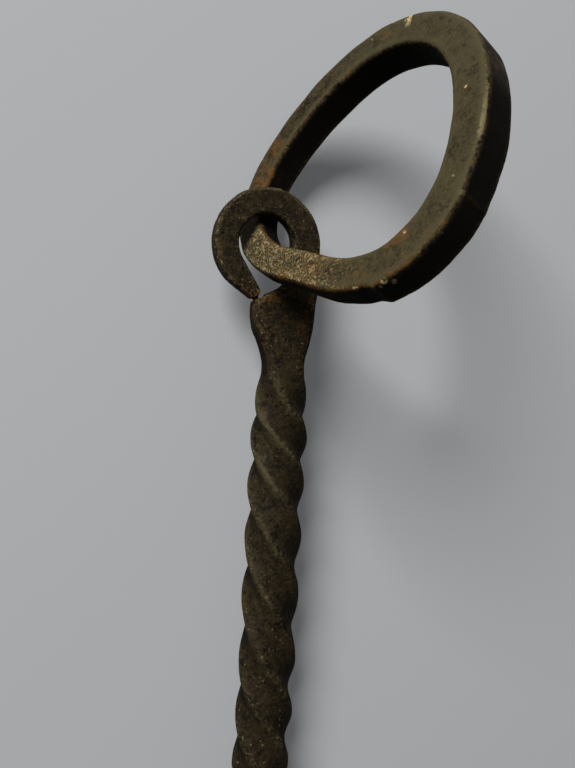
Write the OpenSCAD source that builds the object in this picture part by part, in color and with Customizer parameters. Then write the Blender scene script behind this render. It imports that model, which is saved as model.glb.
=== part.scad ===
// Hand-forged toggle bolt: a ring pull in a rolled eye, a rope-twisted shank and a toggle at the end.
// Millimetres, +Z up. The bolt lies on the plane z = 0 with its eye towards +Y, held up by the ring,
// which stands in the eye and leans against its side.

/* [Eye] */
// Outside radius of the eye
eye_out_r = 14.8; // [14.6:0.1:15.2]
// Width of the eye's bar where it leaves the shank
eye_root_w = 7.9; // [7.4:0.1:8]
// Width of the eye's bar where the roll ends
eye_bar_w = 6.6; // [6:0.1:7]
// Thickness of the eye, top face to bottom face
eye_bar_t = 5.4; // [5:0.1:5.6]
// Corner radius of the eye's bar
eye_corner = 1.2; // [1:0.1:1.6]
// How far the eye is rolled to the left of the shank
eye_offset = 7.1; // [6.9:0.1:7.4]
// Height of the eye's middle above the surface, where the ring holds it
eye_h = 15.3; // [15.2:0.1:15.6]
// Angle that the bar turns through before its end runs straight to the shoulder
eye_roll = 226; // [222:1:228]
// Length of the straight end, which is drawn down as it meets the shoulder
eye_end_l = 8.7; // [8:0.1:8.9]
// Width of the drawn-down end
eye_end_w = 3.5; // [3:0.1:4.2]

/* [Twisted shank] */
// Side of the square bar
bar_side = 12.4; // [12:0.1:13]
// Corner radius that wear has left on the square bar
bar_corner = 2.4; // [1.8:0.1:2.8]
// Where the twist starts, measured from the middle of the eye
twist_start = 35; // [33:1:37]
// Where the first ridge crosses the top
first_ridge = 42.4; // [41:0.1:44]
// Where the twist ends and the bar is rounded up
twist_end = 148; // [146:1:150]

/* [Round and slotted end] */
// Diameter of the plain round length
round_d = 14; // [13.6:0.1:14.4]
// Start of the plain round length, measured from the middle of the eye
round_start = 156; // [154:1:158]
// Diameter of the slotted end, dressed down so that it follows the round length through a hole
end_d = 13.4; // [13:0.1:13.6]
// End of the plain round length, measured from the middle of the eye
round_end_y = 183; // [182:1:184]
// Floor of the slot, measured from the middle of the eye
slot_floor = 186; // [184:1:188]
// Where the rivet crosses the slot, measured from the middle of the eye
rivet_y = 208; // [207:1:212]
// Width of the slot
slot_w = 5.4; // [5:0.1:5.6]
// Thickness over the two flats where the rivet heads sit
flats_t = 12; // [11.6:0.1:12.4]
// Bolt left beyond the rivet
tip_l = 8.5; // [8:0.5:10]

/* [Toggle] */
// Length of the toggle
toggle_l = 40; // [34:1:41]
// Width of the toggle around its rivet hole
toggle_w = 9.5; // [9:0.1:10]
// Width of the toggle's ends
toggle_end_w = 7; // [6:0.1:8]
// Play between the toggle and each side of the slot
toggle_play = 0.1; // [0.08:0.01:0.15]
// Diameter of the rivet
rivet_d = 5; // [4.6:0.1:5.2]
// Diameter of the rivet's heads
rivet_head_d = 7; // [6.4:0.1:7]
// Radial play between the toggle and the rivet
rivet_play = 0.06; // [0.04:0.01:0.1]

/* [Ring] */
// Radius of the ring at the middle of its bar
ring_r = 35.2; // [34.9:0.1:35.5]
// Mean width of the ring's bar, measured from the inside of the ring to the outside
ring_bar_w = 9.1; // [8.8:0.1:9.2]
// Mean thickness of the ring's bar, measured across the ring's plane
ring_bar_t = 9.2; // [8.9:0.1:9.3]
// Corner radius of the ring's bar
ring_corner = 1.4; // [1.1:0.1:2]
// Height of the step where the ring's lap weld ends
lap_step = 1.3; // [0.9:0.1:1.6]
// Height of the lap at its other end, where it starts
lap_lip = 0.7; // [0.3:0.1:0.8]
// Lean of the ring from upright, as the eye holds it
ring_lean = 20.3; // [20:0.1:20.6]
// Direction of the ring's level line, counted from +X
ring_turn = 68.4; // [68:0.1:69]

/* [Hidden] */
$fn = 64;

// The eye's middle and the ring's middle, from the middle of the whole part
eye_place = [-12.6, 79.8, eye_h];
ring_place = [4.4, 97.4, 40.18];
// The bolt lies down towards its slotted end, where the lower rivet head touches the surface
nose_tilt = asin((eye_h - round_d / 2) / rivet_y);

// Edges of the leg and the neck, as [distance from the middle of the eye, place across the shank]
neck_end = 46;
left_edge = [
    [0, -0.2], [5, -0.2], [9, -0.9], [11.1, -2.3], [12.5, -4.9], [13.8, -7.5], [15.4, -10],
    [16.4, -10.2], [19.4, -10.2], [23, -9.4], [27.5, -7], [31.4, -5.8], [35, -5.5],
    [neck_end, -0.4 - bar_side / 2]
];
right_edge = [
    [0, 7.7], [12, 7.9], [18, 7.4], [21.6, 7.1], [26.4, 6.1], [31, 4.9], [35, 4.8],
    [neck_end, bar_side / 2 - 0.4]
];
// Thickness of the leg and the neck at distances from the middle of the eye
neck_thick = [
    [0, eye_bar_t], [12, eye_bar_t + 0.2], [19, 6.6], [27, 8], [35, 10.2], [neck_end, bar_side]
];
// The twisted bar isn't quite straight: how far it sways across at distances from the eye's middle
sway = [[neck_end, -0.4], [80, -0.2], [115, 0.3], [twist_end, 0]];
// Lengths of the quarter turns, uneven as a hand twist is
quarter_turns = [11.5, 12.9, 14.7, 16, 17.2, 13.8, 14];
// How the ring's radius and its bar's width and thickness vary around it, each a sum of waves given as
// [number of peaks, height, angle of a peak]. The bar is thinnest where it wears in the eye.
ring_lobes = [[2, 1.67, -75], [3, 2.4, 6], [4, 0.6, -38]];
ring_w_swell = [[1, 0.4, 50]];
ring_t_swell = [[1, 1.6, 30], [2, 0.5, 105]];
// Angle of the lap weld's step, and how far the lap runs back from it
lap_at = 145.5;
lap_run = 37;

ring_steps = 96;
corner_steps = 4;
flat_steps = 3;

function total(list, n) = n == 0 ? 0 : list[n - 1] + total(list, n - 1);

// Turn of the square bar at distance d, averaged over a short length so that its pace changes gently
ridge_marks = concat(
    [[twist_start, 0]],
    [for (i = [0:len(quarter_turns)]) [first_ridge + total(quarter_turns, i), 45 + 90 * i]],
    [[twist_end, 720], [twist_end + 20, 720]]
);
function bar_turn(d) = let (a = 3)
    (lookup(d - a, ridge_marks) + lookup(d, ridge_marks) + lookup(d + a, ridge_marks)) / 3;

// A rounded rectangle, w across and t thick, turned clockwise, with each flat in flats steps
function rounded_box(w, t, r, turn = 0, flats = 1) =
    let (
        corners = [
            for (q = [0:3])
                let (sx = q == 0 || q == 3 ? 1 : -1, sz = q < 2 ? 1 : -1)
                [
                    for (i = [0:corner_steps])
                        let (a = 90 * q + 90 * i / corner_steps)
                        [sx * (w / 2 - r) + r * cos(a), sz * (t / 2 - r) + r * sin(a)]
                ]
        ],
        points = [
            for (q = [0:3])
                let (from = corners[q][corner_steps], to = corners[(q + 1) % 4][0])
                each concat(corners[q], [for (i = [1:1:flats - 1]) from + (to - from) * i / flats])
        ]
    )
    [for (p = points) [p[0] * cos(turn) + p[1] * sin(turn), p[1] * cos(turn) - p[0] * sin(turn)]];

// Skins a row of rings of points. The rings run the way that makes the faces look out. Each open end
// is closed by a fan of faces from its middle, which lies halfway between two opposite points.
module skin(rings, closed = false) {
    n = len(rings[0]);
    m = len(rings);
    last = closed ? m - 1 : m - 2;
    sides = [
        for (j = [0:last], i = [0:n - 1])
            let (k = (i + 1) % n, a = j * n, b = ((j + 1) % m) * n)
            each [[a + i, a + k, b + i], [a + k, b + k, b + i]]
    ];
    end_rings = closed ? [] : [rings[0], rings[m - 1]];
    hubs = [for (r = end_rings) (r[0] + r[n / 2]) / 2];
    fans = closed ? [] : [
        for (i = [0:n - 1])
            let (k = (i + 1) % n, far = (m - 1) * n)
            each [[k, i, m * n], [far + i, far + k, m * n + 1]]
    ];
    polyhedron(points = concat([for (r = rings) each r], hubs), faces = concat(sides, fans), convexity = 8);
}

// The eye's rolled bar: an arc from the leg over the top, then a straight, drawn-down end
module eye_bar() {
    arc = [
        for (a = [0:7.3:eye_roll])
            let (w = eye_root_w + (eye_bar_w - eye_root_w) * a / eye_roll, r = eye_out_r - w / 2)
            [[-eye_offset + r * cos(a), r * sin(a)], a, w, eye_bar_t]
    ];
    end_r = eye_out_r - eye_bar_w / 2;
    from = [-eye_offset + end_r * cos(eye_roll), end_r * sin(eye_roll)];
    along = [-sin(eye_roll), cos(eye_roll)];
    straight = [
        for (s = [0:0.125:1])
            [
                from + along * s * eye_end_l,
                eye_roll + 17 * s * s,
                eye_bar_w + (eye_end_w - eye_bar_w) * s,
                eye_bar_t - 0.8 * s
            ]
    ];
    skin([
        for (p = concat(arc, straight))
            [for (q = rounded_box(p[2], p[3], eye_corner))
                [p[0][0] + q[0] * cos(p[1]), p[0][1] + q[0] * sin(p[1]), q[1]]]
    ]);
}

// One ring of points of the leg, neck and twist, at distance d from the middle of the eye
function shank_ring(d) =
    let (
        l = lookup(d, left_edge),
        r = lookup(d, right_edge),
        rounded = max(0, min(1, (d - twist_end) / (round_start - twist_end))),
        side = bar_side + (round_d - 0.2 - bar_side) * rounded,
        w = d < neck_end ? r - l : side,
        t = d < neck_end ? lookup(d, neck_thick) : side,
        formed = min(1, d / twist_start),
        corner = eye_corner + (bar_corner - eye_corner) * formed + (round_d / 2 - 0.2 - bar_corner) * rounded,
        mid = d < neck_end ? (l + r) / 2 : lookup(d, sway)
    )
    [for (q = rounded_box(w, t, corner, bar_turn(d), flat_steps)) [mid + q[0], -d, q[1]]];

module leg_neck_and_twist() {
    leg = [for (d = [0:2:8]) d];
    shoulder = [for (d = [9:0.8:18]) d];
    neck = [for (d = [19.4:1.8:twist_start - 0.5]) d];
    twist = [for (d = [twist_start:1.5:twist_end]) d];
    round_up = [for (d = [twist_end + 1:1.5:round_start + 1]) d];
    places = concat(leg, shoulder, neck, twist, round_up);
    skin([for (i = [len(places) - 1:-1:0]) shank_ring(places[i])]);
}

// The plain round length and its slotted, rounded nose
module round_end() {
    r = round_d / 2;
    end_r = end_d / 2;
    nose_r = 4;
    tip = rivet_y + tip_l;
    rotate([90, 0, 0])
        rotate_extrude()
            polygon(concat(
                [[0, round_start], [r, round_start], [r, round_end_y], [end_r, round_end_y + 0.6]],
                [for (a = [0:15:90]) [end_r - nose_r + nose_r * cos(a), tip - nose_r + nose_r * sin(a)]],
                [[0, tip]]
            ));
}

module slot_and_bore() {
    r = round_d / 2;
    tip = rivet_y + tip_l;
    floor_r = slot_w / 2;
    translate([-r - 1, -tip - 1, -slot_w / 2])
        cube([round_d + 2, tip + 1 - slot_floor - floor_r, slot_w]);
    translate([-r - 1, -slot_floor - floor_r, 0])
        rotate([0, 90, 0])
            cylinder(r = floor_r, h = round_d + 2);
    for (side = [-1, 1])
        translate([-r - 1, -tip - 1, side > 0 ? flats_t / 2 : -flats_t / 2 - 3])
            cube([round_d + 2, tip_l + 12, 3]);
    translate([0, -rivet_y, -r - 1])
        cylinder(d = rivet_d + 0.04, h = round_d + 2);
}

// Puts a piece of the bolt where it lies, raised at its eye and resting on its slotted end
module on_bolt() {
    translate(eye_place + [eye_offset, 0, 0])
        rotate([nose_tilt, 0, 0])
            children();
}

module bolt_shank() {
    color("#3a3028")
        on_bolt() {
            eye_bar();
            leg_neck_and_twist();
            difference() {
                round_end();
                slot_and_bore();
            }
        }
}

// Sum of a list of waves at angle a, and the ring's radius there, counted from its level line over its top
function wave(list, a, n = 0) =
    n == len(list) ? 0 : list[n][1] * cos(list[n][0] * (a - list[n][2])) + wave(list, a, n + 1);
function ring_rad(a) = ring_r + wave(ring_lobes, a);
function lap_rise(a) =
    a > lap_at - lap_run && a <= lap_at ? lap_lip + (lap_step - lap_lip) * (a - lap_at + lap_run) / lap_run : 0;

module ring_pull() {
    color("#332b24")
        translate(ring_place)
            rotate([90 + ring_lean, 0, ring_turn])
                skin([
                    for (i = [0:ring_steps - 1])
                        let (
                            a = 360 * i / ring_steps,
                            out = [cos(a), sin(a)],
                            ahead = ring_rad(a + 0.5) * [cos(a + 0.5), sin(a + 0.5)]
                                - ring_rad(a - 0.5) * [cos(a - 0.5), sin(a - 0.5)],
                            face = [ahead[1], -ahead[0]] / norm(ahead),
                            w = ring_bar_w + wave(ring_w_swell, a),
                            t = ring_bar_t + wave(ring_t_swell, a),
                            lap = lap_rise(a)
                        )
                        [for (q = rounded_box(w + lap, t, ring_corner))
                            let (p = out * ring_rad(a) + face * (q[0] + lap / 2))
                            [p[0], p[1], q[1]]]
                ], closed = true);
}

module toggle_bar() {
    t = slot_w - 2 * toggle_play;
    reach = (toggle_l - toggle_end_w) / 2;
    color("#3b3129")
        on_bolt()
            translate([0, -rivet_y, -t / 2])
                difference() {
                    linear_extrude(t) {
                        circle(d = toggle_w);
                        for (side = [-1, 1])
                            translate([side * reach, 0])
                                circle(d = toggle_end_w);
                        polygon([
                            [-reach, -toggle_end_w / 2], [0, 0.1 - toggle_w / 2], [reach, -toggle_end_w / 2],
                            [reach, toggle_end_w / 2], [0, toggle_w / 2 - 0.1], [-reach, toggle_end_w / 2]
                        ]);
                    }
                    translate([0, 0, -1])
                        cylinder(r = rivet_d / 2 + rivet_play, h = t + 2);
                }
}

module toggle_rivet() {
    head_h = (round_d - flats_t) / 2;
    color("#4a4038")
        on_bolt()
            translate([0, -rivet_y, 0])
                rotate_extrude()
                    polygon(concat(
                        [[0, -flats_t / 2 - head_h]],
                        [for (a = [15:15:90]) [rivet_head_d / 2 * sin(a), -flats_t / 2 - head_h * cos(a)]],
                        [[rivet_d / 2, -flats_t / 2], [rivet_d / 2, flats_t / 2]],
                        [for (a = [90:-15:15]) [rivet_head_d / 2 * sin(a), flats_t / 2 + head_h * cos(a)]],
                        [[0, flats_t / 2 + head_h]]
                    ));
}

bolt_shank();
ring_pull();
toggle_bar();
toggle_rivet();
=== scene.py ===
"""Dresses a hand-forged toggle bolt.

Each of its four pieces, the shank, the ring, the toggle and the rivet, is made from its CAD node: an even
skin, then dents, pits and cuts, then marks that tell the iron's material where it is rubbed or rusted,
and where light and shade are painted on it.
"""

import math

import bpy
import numpy as np
from mathutils import Matrix, Vector, noise


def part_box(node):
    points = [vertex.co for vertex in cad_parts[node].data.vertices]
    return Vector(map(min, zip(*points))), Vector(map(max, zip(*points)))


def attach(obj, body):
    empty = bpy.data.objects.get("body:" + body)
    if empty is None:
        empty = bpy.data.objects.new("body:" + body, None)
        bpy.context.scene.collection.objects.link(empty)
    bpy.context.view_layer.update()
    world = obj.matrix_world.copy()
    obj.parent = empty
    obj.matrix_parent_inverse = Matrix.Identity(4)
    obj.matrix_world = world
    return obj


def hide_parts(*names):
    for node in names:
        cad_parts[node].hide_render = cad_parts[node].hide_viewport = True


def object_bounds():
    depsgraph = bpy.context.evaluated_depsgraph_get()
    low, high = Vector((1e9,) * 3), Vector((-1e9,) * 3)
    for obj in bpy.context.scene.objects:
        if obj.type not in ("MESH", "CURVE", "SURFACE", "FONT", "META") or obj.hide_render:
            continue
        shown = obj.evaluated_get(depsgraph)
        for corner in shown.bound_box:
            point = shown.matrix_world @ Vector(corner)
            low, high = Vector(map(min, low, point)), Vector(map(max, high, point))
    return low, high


bl_info = {
    "name": "Forged Toggle Bolt",
    "version": (1, 0, 0),
    "blender": (4, 5, 0),
    "location": "View3D > Sidebar > Forged Bolt",
    "description": "Makes the forged pieces of a ring-pulled toggle bolt and a stage to view them on",
    "category": "Object",
}

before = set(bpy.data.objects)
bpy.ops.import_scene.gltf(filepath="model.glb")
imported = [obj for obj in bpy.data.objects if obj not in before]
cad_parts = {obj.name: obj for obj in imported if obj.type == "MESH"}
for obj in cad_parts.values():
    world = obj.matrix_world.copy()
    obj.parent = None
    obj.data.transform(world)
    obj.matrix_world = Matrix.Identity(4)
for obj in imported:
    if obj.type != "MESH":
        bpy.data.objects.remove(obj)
cad_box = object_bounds()

MM = 0.001

# What a forged skin stores at each point for its material, as forged_iron explains
MARKS = ("ridge", "face", "pitted", "rusted", "burnish_and_painted_highlight", "scale_and_painted_shade", "bare")


# Offsets into the noise, so that no two of its uses show the same pattern
SHANK_SEED, RING_SEED, TOGGLE_SEED, RIVET_SEED = 1.0, 11.0, 21.0, 31.0
CRACK_SEED, LIP_SEED, RAGGED_SEED, SCAR_SEED = 5.0, 9.0, 14.0, 2.0
SCRATCH_SEED, SCRATCH_BED_SEED = 23.0, 8.0

# The lamp and the point that it is aimed at, in metres
LAMP_PLACE = (-1.04, 1.20, 1.30)
LAMP_TARGET = (0.02, 0.05, 0.02)
ROOM_TINT = (0.9, 0.95, 1.0)
FLOOR_HALF = 3.0

# The camera: lens and sensor in millimetres, its directions, and how far it stands back from the corner
# of the ring's box
LENS, SENSOR = 53.2, 36.0
CAMERA_AHEAD = (0.3168, 0.0292, -0.948)
CAMERA_UP = (-0.0558, 0.9984, 0.0121)
CAMERA_BACK = (104.5 * MM, 100.5 * MM)


# ---------------------------------------------------------------- settings


class ForgeSettings(bpy.types.PropertyGroup):
    """Sizes of what the forge and the weather leave on the iron"""

    grid: bpy.props.FloatProperty(
        name="Surface grid", description="Size of the mesh cells on the forged skin",
        default=0.24 * MM, unit="LENGTH",
    )
    dent_depth: bpy.props.FloatProperty(
        name="Hammer dent depth", description="Depth of the broad, shallow dents that the hammer leaves",
        default=0.18 * MM, unit="LENGTH",
    )
    dent_size: bpy.props.FloatProperty(
        name="Hammer dent size", description="Distance from one hammer dent to the next",
        default=6.0 * MM, unit="LENGTH",
    )
    pit_depth: bpy.props.FloatProperty(
        name="Pit depth", description="Depth of the pits that scale and rust leave",
        default=0.12 * MM, unit="LENGTH",
    )
    pit_size: bpy.props.FloatProperty(
        name="Pit size", description="Distance from one rust pit to the next",
        default=1.2 * MM, unit="LENGTH",
    )
    seam_depth: bpy.props.FloatProperty(
        name="Seam depth", description="Depth of the open seam between the eye's end and the shoulder",
        default=0.7 * MM, unit="LENGTH",
    )
    crack_depth: bpy.props.FloatProperty(
        name="Crack depth", description="Depth of the crack across the ring's face",
        default=0.7 * MM, unit="LENGTH",
    )
    chip_depth: bpy.props.FloatProperty(
        name="Chip depth", description="Depth of the chips on the ring's face and beside its lap",
        default=0.3 * MM, unit="LENGTH",
    )
    scar_depth: bpy.props.FloatProperty(
        name="Scar depth", description="Depth of the scars where the ring wears in the eye",
        default=0.15 * MM, unit="LENGTH",
    )
    soften_rounds: bpy.props.IntProperty(
        name="Soften rounds", description="Rounds of smoothing that round off the edges of the solids",
        default=5,
    )
    ridge_rounds: bpy.props.IntProperty(
        name="Ridge rounds", description="Rounds of smoothing that tell a ridge from the flats beside it",
        default=60,
    )


def colour(name, description, default):
    """A colour setting, written in linear light."""
    return bpy.props.FloatVectorProperty(
        name=name, description=description, default=default, size=3, subtype="COLOR", min=0, max=1
    )


class IronColours(bpy.types.PropertyGroup):
    """The layers of colour on old iron"""

    # The worn colour also paints light on the ring's outer wall where it faces the lamp and on the
    # shank's left-facing flats, the rubbed colour paints a highlight along the ring's crest, and the
    # scale colour paints shade on the ring's walls and the shank's underside and right side
    scale: colour("Fire scale", "The near-black skin that the forge leaves", (0.0022, 0.0017, 0.0011))
    brown: colour("Old brown", "The oiled brown that old iron turns", (0.027, 0.0190, 0.0088))
    rust: colour("Rust", "Orange rust in corners and along edges", (0.115, 0.050, 0.012))
    worn: colour("Worn face", "Olive grey iron where hands have rubbed it", (0.058, 0.0475, 0.0225))
    rubbed_and_painted_light: colour("Rubbed edge", "Brighter iron on crests and corners", (0.160, 0.128, 0.066))
    fleck: colour("Bare fleck", "Pale flecks where the skin has chipped", (0.500, 0.380, 0.180))


class StageSettings(bpy.types.PropertyGroup):
    """Floor, light and camera"""

    floor: colour("Floor", "Colour of the plain floor", (0.305, 0.312, 0.316))
    floor_lift: bpy.props.FloatProperty(
        name="Floor lift", description="Light that the floor shows of itself, which opens its shadows",
        default=0.07,
    )
    floor_bounce: bpy.props.FloatProperty(
        name="Floor bounce", description="How much light the floor throws back up at the bolt",
        default=0.12,
    )
    background: bpy.props.FloatProperty(
        name="Background", description="Strength of the pale room beyond the floor", default=0.45
    )
    key_watts: bpy.props.FloatProperty(
        name="Key light", description="Power of the broad lamp at the upper left",
        default=62.0, unit="POWER",
    )
    key_size: bpy.props.FloatProperty(
        name="Key size", description="Width of the broad lamp", default=1.0, unit="LENGTH"
    )
    fill: bpy.props.FloatProperty(
        name="Fill light", description="Strength of the light from all round", default=0.12
    )
    camera_height: bpy.props.FloatProperty(
        name="Camera height", description="Height of the camera above the floor",
        default=231.8 * MM, unit="LENGTH",
    )


# ---------------------------------------------------------------- shader arithmetic


class Value:
    """A socket that works in Python arithmetic. Each operator adds a Math node."""

    def __init__(self, tree, socket):
        self.tree = tree
        self.socket = socket

    def math(self, operation, *others):
        node = self.tree.nodes.new("ShaderNodeMath")
        node.operation = operation
        for slot, item in zip(node.inputs, (self, *others)):
            if isinstance(item, Value):
                self.tree.links.new(item.socket, slot)
            else:
                slot.default_value = item
        return Value(self.tree, node.outputs[0])

    def __add__(self, other):
        return self.math("ADD", other)

    __radd__ = __add__

    def __sub__(self, other):
        return self.math("SUBTRACT", other)

    def __rsub__(self, other):
        return (self * -1) + other

    def __mul__(self, other):
        return self.math("MULTIPLY", other)

    def clip(self):
        """Kept between 0 and 1."""
        return self.math("MAXIMUM", 0.0).math("MINIMUM", 1.0)

    def ramp(self, low, high):
        """0 below low, 1 above high, and a smooth step between them."""
        node = self.tree.nodes.new("ShaderNodeMapRange")
        node.interpolation_type = "SMOOTHSTEP"
        node.inputs["From Min"].default_value = low
        node.inputs["From Max"].default_value = high
        self.tree.links.new(self.socket, node.inputs["Value"])
        return Value(self.tree, node.outputs["Result"])


class Finish:
    """A node material under construction."""

    def __init__(self, name):
        self.material = bpy.data.materials.new(name)
        self.material.use_nodes = True
        self.tree = self.material.node_tree
        self.tree.nodes.clear()

    def node(self, kind, settings=None, inputs=None, output=0):
        """Adds a node, sets its settings, then its sockets' values or links, and gives one output."""
        made = self.tree.nodes.new(kind)
        for key, item in (settings or {}).items():
            setattr(made, key, item)
        for key, item in (inputs or {}).items():
            if isinstance(item, Value):
                self.tree.links.new(item.socket, made.inputs[key])
            else:
                made.inputs[key].default_value = item
        return Value(self.tree, made.outputs[output])

    def place(self):
        """Place on the piece, in millimetres."""
        spot = self.node("ShaderNodeTexCoord", output="Object")
        return self.node("ShaderNodeVectorMath", {"operation": "SCALE"}, {0: spot, "Scale": 1 / MM})

    def stretch(self, place, scales):
        """The place with each axis scaled, so that noise on it is drawn out along an axis."""
        return self.node("ShaderNodeVectorMath", {"operation": "MULTIPLY"}, {0: place, 1: scales})

    def cloud(self, place, size, detail=3.0, rough=0.55, warp=0.0):
        """Soft noise, 0 to 1, whose blobs are about size millimetres across."""
        return self.node(
            "ShaderNodeTexNoise", {"noise_dimensions": "3D"},
            {
                "Vector": place, "Scale": 1 / size, "Detail": detail, "Roughness": rough,
                "Distortion": warp,
            },
        )

    def mix(self, amount, a, b):
        """Colour a where amount is 0 and colour b where it is 1."""
        made = self.tree.nodes.new("ShaderNodeMix")
        made.data_type = "RGBA"
        for slot, item in zip((made.inputs[0], made.inputs[6], made.inputs[7]), (amount, a, b)):
            if isinstance(item, Value):
                self.tree.links.new(item.socket, slot)
            elif slot.type == "RGBA":
                slot.default_value = (*item, 1.0)
            else:
                slot.default_value = item
        return Value(self.tree, made.outputs[2])

    def finish(self, links, **constants):
        """Adds the surface shader with its links and its constant settings."""
        shader = self.tree.nodes.new("ShaderNodeBsdfPrincipled")
        for key, item in constants.items():
            shader.inputs[key.replace("_", " ")].default_value = item
        for key, item in links.items():
            self.tree.links.new(item.socket, shader.inputs[key])
        out = self.tree.nodes.new("ShaderNodeOutputMaterial")
        self.tree.links.new(shader.outputs[0], out.inputs["Surface"])
        return self.material


def forged_iron(name, hues, worn=0.4, rusty=0.4, speckle=0.5):
    """Old forged iron. worn, rusty and speckle say how much of the piece each of them takes.

    The skin's marks say where: ridge (crests above 0, hollows below), face (rubbed flats, and painted
    light on the ring's outer wall where it faces the lamp and on the shank's left-facing flats), pitted
    (coarse pits with pale flecks), rusted (orange edges), burnished (rubbed crests, and a painted
    highlight along the ring's crest), soot (black scale, painted shade on the ring's walls and on the
    shank's underside and right side, and darker iron on the shank's neck and far part) and bare (fresh
    chips).
    """
    f = Finish(name)
    place = f.place()
    ridge, face, pitted, rusted, burnish_and_painted_highlight, scale_and_painted_shade, bare = (
        f.node("ShaderNodeAttribute", {"attribute_name": mark}, output="Fac") for mark in MARKS
    )
    # Noise of five sizes, the last drawn out along the bar
    broad = f.cloud(place, 8.0, 3.0, 0.6)
    blotch = f.cloud(place, 2.2, 5.0, 0.65, 0.4)
    grain = f.cloud(place, 0.75, 5.0, 0.75)
    sand = f.cloud(place, 0.30, 3.0, 0.7)
    drawn = f.cloud(f.stretch(place, (1.0, 0.28, 1.0)), 0.9, 3.0, 0.6)

    # Colour, each layer over the one before: brown, rubbed flats with painted light, bright crests with a
    # painted highlight, rust, flecks, black scale with painted shade, chips
    browned = (blotch * 1.1 + broad * 0.5 + grain * 1.6 - 0.6).ramp(0.60, 1.30)
    skin = f.mix(browned, hues.scale, hues.brown)
    scoured = broad * 0.5 + drawn * 0.5 + blotch * 0.7 + grain * 1.0
    # Rubbed flats, and painted light on the ring's outer wall where it faces the lamp and on the shank's
    # left-facing flats
    rub_and_painted_light = (face * 0.62 + ridge * 0.50 + scoured - 1.65 + worn).ramp(0.05, 0.85)
    skin = f.mix(rub_and_painted_light * 0.92, skin, hues.worn)
    # Rubbed crests, and the painted highlight along the ring's crest
    crest_wear_and_painted_highlight = ridge * 0.60 + grain * 1.1 + blotch * 0.9 + burnish_and_painted_highlight * 1.45
    crest_wear_and_painted_highlight = (crest_wear_and_painted_highlight - 1.62 + worn * 0.4).ramp(0.0, 0.5)
    skin = f.mix(crest_wear_and_painted_highlight * 0.8, skin, hues.rubbed_and_painted_light)
    rust = (blotch * 1.3 + grain * 1.1 + broad * 0.5 + rusted * 0.65 - 1.95 + rusty).ramp(0.0, 0.5)
    skin = f.mix(rust * 0.7, skin, hues.rust)
    flecks = grain + sand * 1.2 + ridge * 0.08 + pitted * 0.22
    flecks = (flecks - 1.50 + speckle * 0.35).ramp(0.0, 0.14)
    skin = f.mix(flecks * 0.75, skin, hues.fleck)
    # Black scale in hollows, pits and on the ring's walls, with painted shade on those walls and on the
    # shank's underside and right side
    dark_scale_and_painted_shade = (ridge * -1.1 + pitted * (0.50 - grain) * 4.0 + scale_and_painted_shade * 1.1 - 0.05).ramp(0.1, 1.0)
    skin = f.mix(dark_scale_and_painted_shade * 0.93, skin, hues.scale)
    skin = f.mix(bare, skin, hues.fleck)

    height = grain * 0.55 + sand * 0.3 + blotch * 0.4 + pitted * grain * 1.4
    bump = f.node(
        "ShaderNodeBump", {},
        {"Strength": 0.9, "Distance": 0.26 * MM, "Height": height}, output="Normal",
    )
    rough = 0.46 + grain * 0.20 + rust * 0.15 - crest_wear_and_painted_highlight * 0.12 + scale_and_painted_shade * 0.35
    metal = 0.02 + crest_wear_and_painted_highlight * 0.25 + burnish_and_painted_highlight * 0.15 - rust * 0.2 - scale_and_painted_shade * 0.2
    return f.finish(
        {"Base Color": skin, "Roughness": rough, "Metallic": metal.clip(), "Normal": bump},
        Specular_IOR_Level=0.045,
    )


# ---------------------------------------------------------------- forged skins


def link(obj):
    bpy.context.scene.collection.objects.link(obj)
    return obj


def solid_copy(node, name):
    """A new object with the shape of a CAD node, its seams closed."""
    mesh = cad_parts[node].data.copy()
    mesh.materials.clear()
    obj = link(bpy.data.objects.new(name, mesh))
    weld = obj.modifiers.new("weld", "WELD")
    weld.merge_threshold = 0.002 * MM
    return obj


def regrid(obj, grid):
    """Turns the object's solids into one even skin of small square faces."""
    remesh = obj.modifiers.new("grid", "REMESH")
    remesh.mode = "VOXEL"
    remesh.voxel_size = grid
    shown = obj.evaluated_get(bpy.context.evaluated_depsgraph_get())
    mesh = bpy.data.meshes.new_from_object(shown)
    obj.modifiers.clear()
    obj.data = mesh
    if len(mesh.vertices) < 1000:
        raise RuntimeError(f"{obj.name}: the skin has only {len(mesh.vertices)} points")


class Skin:
    """The points of a mesh as an array, with its neighbours, for smoothing and measuring."""

    def __init__(self, mesh):
        self.mesh = mesh
        self.count = len(mesh.vertices)
        self.points = np.empty(self.count * 3)
        mesh.vertices.foreach_get("co", self.points)
        self.points = self.points.reshape(-1, 3)
        pairs = np.empty(len(mesh.edges) * 2, int)
        mesh.edges.foreach_get("vertices", pairs)
        self.pairs = pairs.reshape(-1, 2)
        ends = np.concatenate([self.pairs[:, 0], self.pairs[:, 1]])
        self.degree = np.bincount(ends, minlength=self.count)[:, None]

    def mean(self, values):
        """Mean of each point's neighbours."""
        a, b = self.pairs.T
        out = np.zeros_like(values)
        for k in range(values.shape[1]):
            out[:, k] = np.bincount(a, values[b, k], self.count)
            out[:, k] += np.bincount(b, values[a, k], self.count)
        return out / self.degree

    def smoothed(self, values, rounds, share=0.5):
        for _ in range(rounds):
            values = values + share * (self.mean(values) - values)
        return values

    def normals(self):
        self.store()
        out = np.empty(self.count * 3)
        self.mesh.vertices.foreach_get("normal", out)
        return out.reshape(-1, 3)

    def store(self):
        self.mesh.vertices.foreach_set("co", self.points.ravel())
        self.mesh.update()

    def attribute(self, name, values):
        layer = self.mesh.attributes.new(name, "FLOAT", "POINT")
        layer.data.foreach_set("value", values.astype(np.float32))


def noise_at(points, size, offset):
    """Smooth noise from -1 to 1 at each point, with features about size across."""
    shift = Vector((offset, offset * 0.7, -offset))
    return np.array([noise.noise(Vector(p) + shift) for p in points / size])


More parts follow.
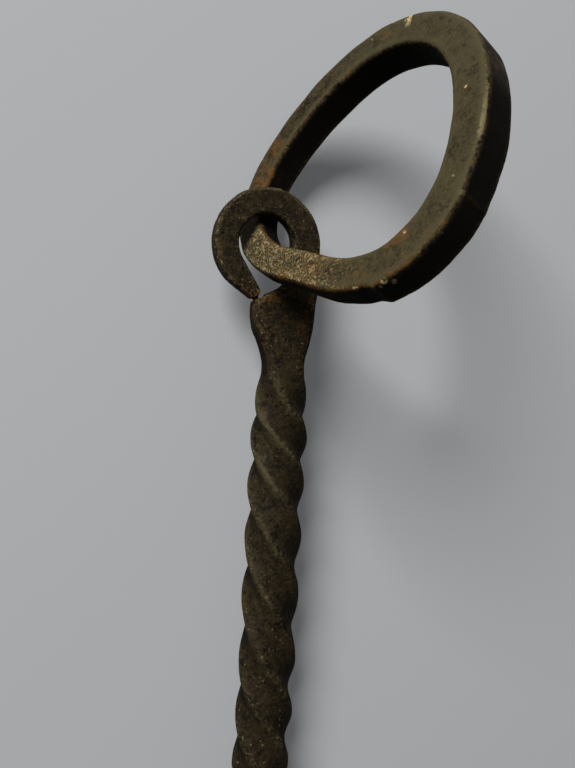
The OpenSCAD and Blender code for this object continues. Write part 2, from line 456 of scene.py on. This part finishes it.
def step(values, low, high):
    """0 below low, 1 above high, and a smooth step between them, for arrays."""
    share = np.clip((values - low) / (high - low), 0, 1)
    return share * share * (3 - 2 * share)


def peak(values, place, width):
    """1 at a place, falling away evenly to both sides."""
    return np.exp(-((values - place) / width) ** 2)


def near_turn(turn, place, near, far):
    """1 within near degrees of a place round the ring, 0 beyond far degrees."""
    return 1 - step(np.abs((turn - place + 180) % 360 - 180), near, far)


def weather(obj, settings, seed, dents=1.0, pits=1.0, special=None):
    """Gives a skin its soft edges, hammer dents and rust pits, and stores its marks.

    special, where a piece has one, adds the piece's own cuts and marks. It gets the skin, its normals
    and the settings, and gives each point's push outwards and a dictionary of marks.
    """
    skin = Skin(obj.data)
    skin.points = skin.smoothed(skin.points, settings.soften_rounds)
    normals = skin.normals()
    even = skin.smoothed(skin.points, settings.ridge_rounds)
    bulge = np.einsum("ij,ij->i", skin.points - even, normals) / (0.22 * MM)
    marks = {name: np.zeros(skin.count) for name in MARKS}
    push = np.zeros(skin.count)
    if special:
        push, own = special(skin, normals, settings)
        marks.update(own)

    dent = noise_at(skin.points, settings.dent_size, seed)
    fine = noise_at(skin.points, settings.pit_size, seed + 7.3)
    small = noise_at(skin.points, settings.pit_size * 0.45, seed + 3.1)
    pit = np.clip(fine + 0.5 * small - 0.12, 0, None) * (1 + 1.6 * marks["pitted"])
    push = push + dents * settings.dent_depth * (dent - 0.35) - pits * settings.pit_depth * pit
    skin.points = skin.points + normals * push[:, None]
    skin.store()

    marks["ridge"] = np.clip(skin.smoothed(bulge[:, None], 2)[:, 0], -1.5, 1.5)
    for name in MARKS:
        skin.attribute(name, marks[name])
    for face in obj.data.polygons:
        face.use_smooth = True


class RingAxes:
    """The ring's middle, its axis, its level direction and the direction up its slope."""

    def __init__(self, points):
        self.middle = (points.max(0) + points.min(0)) / 2
        _, _, axes = np.linalg.svd(points[::7] - points[::7].mean(0), full_matrices=False)
        axis = axes[2] * np.sign(axes[2][2])
        level = np.cross(axis, (0, 0, 1))
        level *= np.sign(level[1]) / np.linalg.norm(level)
        self.axis = axis
        self.level = level
        self.up = np.cross(level, axis)
        self.up *= np.sign(self.up[2])
        self.points = points - self.middle

    def turn(self):
        """Angle of each point in degrees, counted from the level direction over the top."""
        return np.degrees(np.arctan2(self.points @ self.up, self.points @ self.level))

    def reach(self):
        """Distance of each point from the axis."""
        return np.hypot(self.points @ self.up, self.points @ self.level)

    def face_spot(self, turn, reach, size):
        """1 at a place on the front face, falling to 0 at size from it. Lengths are in millimetres."""
        a = math.radians(turn)
        level, up = self.points @ self.level / MM, self.points @ self.up / MM
        gap = np.hypot(level - reach * math.cos(a), up - reach * math.sin(a))
        return (1 - step(gap, size * 0.35, size)) * (self.points @ self.axis > 0)

    def wall_spot(self, turn, lift, size):
        """1 at a place on the outer side, lift up the axis, falling to 0 at size from it."""
        around = np.radians(self.turn() - turn) * self.reach() / MM
        gap = np.hypot(around, self.points @ self.axis / MM - lift)
        return (1 - step(gap, size * 0.35, size)) * (self.reach() > 36 * MM)


# Chips on the ring's face: angle in degrees, then reach and size in millimetres
FACE_CHIPS = (
    (67.7, 32.6, 0.6),
    (105.0, 38.5, 0.45),
    (-2.2, 37.4, 0.9),
    (128.0, 37.5, 0.6),
    (-20.0, 36.0, 0.4),
)

# Chips on its outer wall: angle in degrees, then lift along the axis and size in millimetres
WALL_CHIPS = (
    (151.0, 3.6, 1.1),
    (140.5, 3.5, 1.1),
    (138.5, 1.9, 0.9),
    (142.5, 2.6, 0.6),
)

# Rust stains on the ring's face: angle in degrees, then reach and size in millimetres
RUST_STAINS = (
    (-84.0, 36.0, 5.0),
    (-100.0, 35.0, 6.0),
    (-62.0, 36.5, 4.0),
    (131.0, 36.0, 5.5),
    (116.0, 33.0, 4.0),
    (-14.0, 35.0, 4.0),
    (-168.0, 37.0, 5.0),
)


def ring_crack(points, turn, reach, front):
    """The crack that runs across the front face at turn 0, and the pale lip beside it, both 0 to 1."""
    wander = 0.9 * MM * noise_at(points, 2.4 * MM, CRACK_SEED)
    along = np.radians(turn) * reach + wander
    crack = (1 - step(np.abs(along), 0.2 * MM, 0.7 * MM)) * step(reach, 32.5 * MM, 34.5 * MM)
    crack *= step(front, 0.1, 0.5)
    lip = (1 - step(np.abs(along + 0.7 * MM), 0.1 * MM, 0.6 * MM)) * step(reach, 34.5 * MM, 37 * MM)
    lip *= step(front, 0.1, 0.5) * step(noise_at(points, 0.9 * MM, LIP_SEED), -0.6, 0.3)
    return crack, lip


def ring_marks(skin, normals, settings):
    """The ring's cuts and marks: crack, chips, scars where it wears in the eye, black scale and painted
    shade on its walls, and painted light on the outer wall where it faces the lamp and along its crest.

    Turns are in degrees, from the level direction over the top.
    """
    axes = RingAxes(skin.points)
    turn, reach = axes.turn(), axes.reach()
    front = normals @ axes.axis
    outward = np.einsum("ij,ij->i", normals, axes.points) / np.maximum(reach, MM)
    face = step(np.abs(front), 0.62, 0.92)
    wall = step(np.abs(outward), 0.45, 0.85)
    # Painted light: the outer wall between turns -20 and 76, which faces the lamp, gets less dark scale
    # and some of the lighter rubbed colour
    painted_lit_wall = step(outward, 0.2, 0.8) * step(turn, -20, 12) * (1 - step(turn, 52, 76))
    # Painted highlight, partly burnish: a soft bright band along the front face's outer crest between
    # turns 38 and 98, where the lamp's highlight falls
    crest_wear_and_painted_highlight = peak(reach, 40.0 * MM, 1.5 * MM) * step(front, 0.3, 0.6)
    crest_wear_and_painted_highlight *= step(turn, 38, 56) * (1 - step(turn, 76, 98))
    in_eye = near_turn(turn, -160, 22, 60)
    arm = near_turn(turn, -75, 25, 60)
    low = near_turn(turn, 150, 12, 50)

    crack, lip = ring_crack(skin.points, turn, reach, front)
    chips = np.zeros(skin.count)
    for place in FACE_CHIPS:
        chips = np.maximum(chips, axes.face_spot(*place))
    for place in WALL_CHIPS:
        chips = np.maximum(chips, axes.wall_spot(*place) * step(outward, 0.45, 0.8))
    ragged = noise_at(skin.points, 0.6 * MM, RAGGED_SEED)
    chips *= step(ragged, -0.35, 0.05)
    patchy = ragged + 0.6 * noise_at(skin.points, 2.5 * MM, SCAR_SEED)
    scars = in_eye * face * step(patchy, 0.34, 0.52)
    stains = np.zeros(skin.count)
    for place in RUST_STAINS:
        stains = np.maximum(stains, axes.face_spot(*place))
    edge = peak(np.abs(front), 0.55, 0.3)
    rusted = edge * (0.45 + 0.5 * low) + 0.35 * in_eye + 0.2 * arm + 0.25 * low * face + 0.45 * stains
    marks = {
        # Rubbed faces, plus painted light on the part of the outer wall that faces the lamp
        "face": np.clip(face * (1 - 0.3 * arm) + 0.35 * painted_lit_wall, 0, 1),
        # Walls: black fire scale plus painted shade that keeps the inner and outer walls dark, less where
        # the outer wall faces the lamp
        "scale_and_painted_shade": wall * (1 - 0.75 * painted_lit_wall),
        "burnish_and_painted_highlight": crest_wear_and_painted_highlight,
        "pitted": in_eye * face,
        "rusted": np.clip(rusted, 0, 1),
        "bare": np.clip(lip * 0.8 + chips * 0.8 + scars * 0.35, 0, 1),
    }
    cut = settings.crack_depth * crack + settings.chip_depth * chips + settings.scar_depth * scars
    return -cut, marks


# Middle of the eye from the left and far sides of the bolt's box, and the seam's ends from there
EYE_MIDDLE = (14.8 * MM, 14.84 * MM)
SEAM = ((-4.6 * MM, -16.2 * MM), (0.2 * MM, -13.6 * MM))


def eye_seam(points, eye):
    """1 on the seam between the eye's end and the shoulder, 0 elsewhere."""
    start, end = (eye + np.array(place) for place in SEAM)
    length = np.linalg.norm(end - start)
    along = (end - start) / length
    gap = points[:, :2] - start
    share = gap @ along
    off = np.abs(gap @ np.array([-along[1], along[0]]))
    seam = (1 - step(off, 0.1 * MM, 0.45 * MM)) * step(share, -0.5 * MM, 0.2 * MM)
    return seam * (1 - step(share, length, length + 0.5 * MM))


def shank_marks(skin, normals, settings):
    """The shank's seam and marks: rust on the eye and neck, rubbed flats with painted light on their
    left-facing sides, painted shade on the underside and right side, darker iron on the neck and away
    from the eye, and scratches further back.
    """
    points = skin.points
    low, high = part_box("bolt_shank")
    eye = np.array([low.x + EYE_MIDDLE[0], high.y - EYE_MIDDLE[1]])
    from_eye = np.hypot(*(points[:, :2] - eye).T)
    in_eye = 1 - step(from_eye, 15 * MM, 17 * MM)
    back = high.y - points[:, 1]
    neck = step(back, 24 * MM, 30 * MM) * (1 - step(back, 42 * MM, 60 * MM))
    handled = 1 - step(back, 60 * MM, 170 * MM)
    # Painted light: flats turned to the left, towards the lamp, take the lighter rubbed colour
    turned_left = step(-normals[:, 0], -0.1, 0.6)
    side = np.abs(normals[:, 2])
    edge = peak(side, 0.55, 0.3)
    # Handled wear near the eye, and painted light on its left-facing flats
    rubbed_and_painted_light = 0.65 * handled * turned_left * (1 - in_eye) * (1 - neck)
    marks = {
        "face": in_eye * step(side, 0.6, 0.9) * 0.1 + rubbed_and_painted_light,
        "pitted": np.clip(in_eye * 0.2 + neck * 0.15, 0, 1),
        "rusted": np.clip(in_eye * (0.35 + 0.25 * edge) + 0.55 * neck, 0, 1),
        # Painted shade: darker on sides that face down and on the right side, away from the lamp. Also
        # darker on the neck and away from the eye
        "scale_and_painted_shade": np.clip(
            (1 - step(normals[:, 2], -0.2, 0.4)) * 0.6 + 0.45 * step(normals[:, 0], 0.05, 0.75)
            + 0.22 * (1 - handled) + 0.3 * neck, 0, 1,
        ),
    }
    scratched = step(noise_at(points, 0.6 * MM, SCRATCH_SEED), 0.46, 0.62)
    scratched *= step(noise_at(points, 4 * MM, SCRATCH_BED_SEED), 0.1, 0.4)
    marks["bare"] = 0.4 * scratched * (1 - handled) * step(normals[:, 2], 0.2, 0.5)
    return -settings.seam_depth * eye_seam(points, eye), marks


def forge(
    node, name, body, material, settings, seed, grid_share=1.0, dents=1.0, pits=1.0, special=None
):
    """Makes the visible piece for a CAD node and puts it in the frame."""
    obj = solid_copy(node, name)
    regrid(obj, settings.grid * grid_share)
    weather(obj, settings, seed, dents, pits, special)
    obj.data.materials.append(material)
    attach(obj, body)
    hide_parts(node)
    return obj


# ---------------------------------------------------------------- operators


class ForgeShank(bpy.types.Operator):
    """Makes the eye, neck, twist and slotted end as one forging"""

    bl_idname = "forged_bolt.shank"
    bl_label = "Forge shank"

    def execute(self, context):
        scene = context.scene
        iron = forged_iron("bar iron", scene.iron_colours, worn=0.13, rusty=0.14, speckle=0.38)
        forge(
            "bolt_shank", "forged_shank", "bolt", iron, scene.forge_settings, SHANK_SEED,
            special=shank_marks,
        )
        return {"FINISHED"}


class ForgeRing(bpy.types.Operator):
    """Makes the ring pull with its lap weld"""

    bl_idname = "forged_bolt.ring"
    bl_label = "Forge ring"

    def execute(self, context):
        scene = context.scene
        iron = forged_iron("ring iron", scene.iron_colours, worn=0.24, rusty=0.26, speckle=0.26)
        forge(
            "ring_pull", "forged_ring", "ring", iron, scene.forge_settings, RING_SEED,
            pits=0.7, special=ring_marks,
        )
        return {"FINISHED"}


class ForgeToggle(bpy.types.Operator):
    """Makes the toggle that turns in the slot"""

    bl_idname = "forged_bolt.toggle"
    bl_label = "Forge toggle"

    def execute(self, context):
        scene = context.scene
        iron = forged_iron("toggle iron", scene.iron_colours, worn=0.12, rusty=0.3, speckle=0.45)
        forge(
            "toggle_bar", "forged_toggle", "toggle", iron, scene.forge_settings,
            TOGGLE_SEED, grid_share=0.8, dents=0.4, pits=0.6,
        )
        return {"FINISHED"}


class PeenRivet(bpy.types.Operator):
    """Makes the rivet that the toggle turns on"""

    bl_idname = "forged_bolt.rivet"
    bl_label = "Peen rivet"

    def execute(self, context):
        scene = context.scene
        iron = forged_iron("rivet iron", scene.iron_colours, worn=0.3, rusty=0.2, speckle=0.4)
        forge(
            "toggle_rivet", "peened_rivet", "bolt", iron, scene.forge_settings, RIVET_SEED,
            grid_share=0.6, dents=0.3, pits=0.3,
        )
        return {"FINISHED"}


def area_light(name, place, target, size, watts):
    """A round lamp at a place, aimed at a target."""
    lamp = bpy.data.lights.new(name, "AREA")
    lamp.shape = "DISK"
    lamp.size = size
    lamp.energy = watts
    obj = link(bpy.data.objects.new(name, lamp))
    obj.location = place
    obj.rotation_euler = (Vector(target) - Vector(place)).to_track_quat("-Z", "Y").to_euler()


def pale_rays(tree):
    """1 for the rays that show the floor and the room, in the view and in metal or glass."""
    path = tree.nodes.new("ShaderNodeLightPath")
    seen = Value(tree, path.outputs["Is Camera Ray"])
    for ray in ("Is Glossy Ray", "Is Transmission Ray"):
        seen = seen.math("MAXIMUM", Value(tree, path.outputs[ray]))
    return seen


def floor_material(stage):
    """A plain pale floor that throws little light back up, so that the walls of the iron stay dark."""
    f = Finish("plain floor")
    seen = pale_rays(f.tree)
    bounce = stage.floor_bounce
    hue = f.mix(seen, (bounce, bounce, bounce), stage.floor)
    lift = f.mix(seen, (0, 0, 0), [part * stage.floor_lift / stage.floor[0] for part in stage.floor])
    return f.finish(
        {"Base Color": hue, "Emission Color": lift},
        Roughness=0.9, Specular_IOR_Level=0.1, Emission_Strength=1.0,
    )


class SetStage(bpy.types.Operator):
    """Lays the floor, hangs the lamp and sets the camera"""

    bl_idname = "forged_bolt.stage"
    bl_label = "Set stage"

    def execute(self, context):
        scene = context.scene
        stage = scene.stage_settings
        self.floor(stage)
        self.light(stage)
        self.camera(scene, stage)
        scene.view_settings.view_transform = "Standard"
        return {"FINISHED"}

    def floor(self, stage):
        low, _ = cad_box
        mesh = bpy.data.meshes.new("floor")
        signs = ((-1, -1), (1, -1), (1, 1), (-1, 1))
        corners = [(x * FLOOR_HALF, y * FLOOR_HALF, low.z) for x, y in signs]
        mesh.from_pydata(corners, [], [(0, 1, 2, 3)])
        mesh.materials.append(floor_material(stage))
        link(bpy.data.objects.new("floor", mesh))

    def light(self, stage):
        area_light("key", LAMP_PLACE, LAMP_TARGET, stage.key_size, stage.key_watts)
        world = bpy.data.worlds.new("room")
        bpy.context.scene.world = world
        world.use_nodes = True
        tree = world.node_tree
        tree.nodes.clear()
        back = tree.nodes.new("ShaderNodeBackground")
        back.inputs["Color"].default_value = (*ROOM_TINT, 1)
        level = pale_rays(tree) * (stage.background - stage.fill) + stage.fill
        tree.links.new(level.socket, back.inputs["Strength"])
        out = tree.nodes.new("ShaderNodeOutputWorld")
        tree.links.new(back.outputs[0], out.inputs["Surface"])

    def camera(self, scene, stage):
        """The camera looks down at the eye from above and a little to the left."""
        _, ring_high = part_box("ring_pull")
        view = bpy.data.cameras.new("view")
        view.sensor_fit = "HORIZONTAL"
        view.sensor_width = SENSOR
        view.lens = LENS
        view.clip_start = 0.01
        camera = link(bpy.data.objects.new("view", view))
        ahead = Vector(CAMERA_AHEAD).normalized()
        up = Vector(CAMERA_UP)
        side = ahead.cross(up).normalized()
        up = side.cross(ahead)
        turn = Matrix((side, up, -ahead)).transposed()
        camera.matrix_world = Matrix.Translation(
            (ring_high.x - CAMERA_BACK[0], ring_high.y - CAMERA_BACK[1], stage.camera_height)
        ) @ turn.to_4x4()
        scene.camera = camera


PIECES = (ForgeShank, ForgeRing, ForgeToggle, PeenRivet)


class ForgedBoltPanel(bpy.types.Panel):
    """Settings and buttons for the forged bolt"""

    bl_idname = "VIEW3D_PT_forged_bolt"
    bl_label = "Forged toggle bolt"
    bl_space_type = "VIEW_3D"
    bl_region_type = "UI"
    bl_category = "Forged Bolt"

    def draw(self, context):
        for key, group in GROUPS.items():
            for name in group.__annotations__:
                self.layout.prop(getattr(context.scene, key), name)
        for operator in (*PIECES, SetStage):
            self.layout.operator(operator.bl_idname)


GROUPS = {
    "forge_settings": ForgeSettings,
    "iron_colours": IronColours,
    "stage_settings": StageSettings,
}


def register():
    for item in (*GROUPS.values(), *PIECES, SetStage, ForgedBoltPanel):
        bpy.utils.register_class(item)
    for name, group in GROUPS.items():
        setattr(bpy.types.Scene, name, bpy.props.PointerProperty(type=group))


def unregister():
    for name in GROUPS:
        delattr(bpy.types.Scene, name)
    for item in (ForgedBoltPanel, SetStage, *PIECES, *reversed(GROUPS.values())):
        bpy.utils.unregister_class(item)


def corners(box):
    return [list(corner) for corner in box]


def main():
    register()
    for operator in (*PIECES, SetStage):
        group, name = operator.bl_idname.split(".")
        getattr(getattr(bpy.ops, group), name)()


if __name__ == "__main__":
    main()
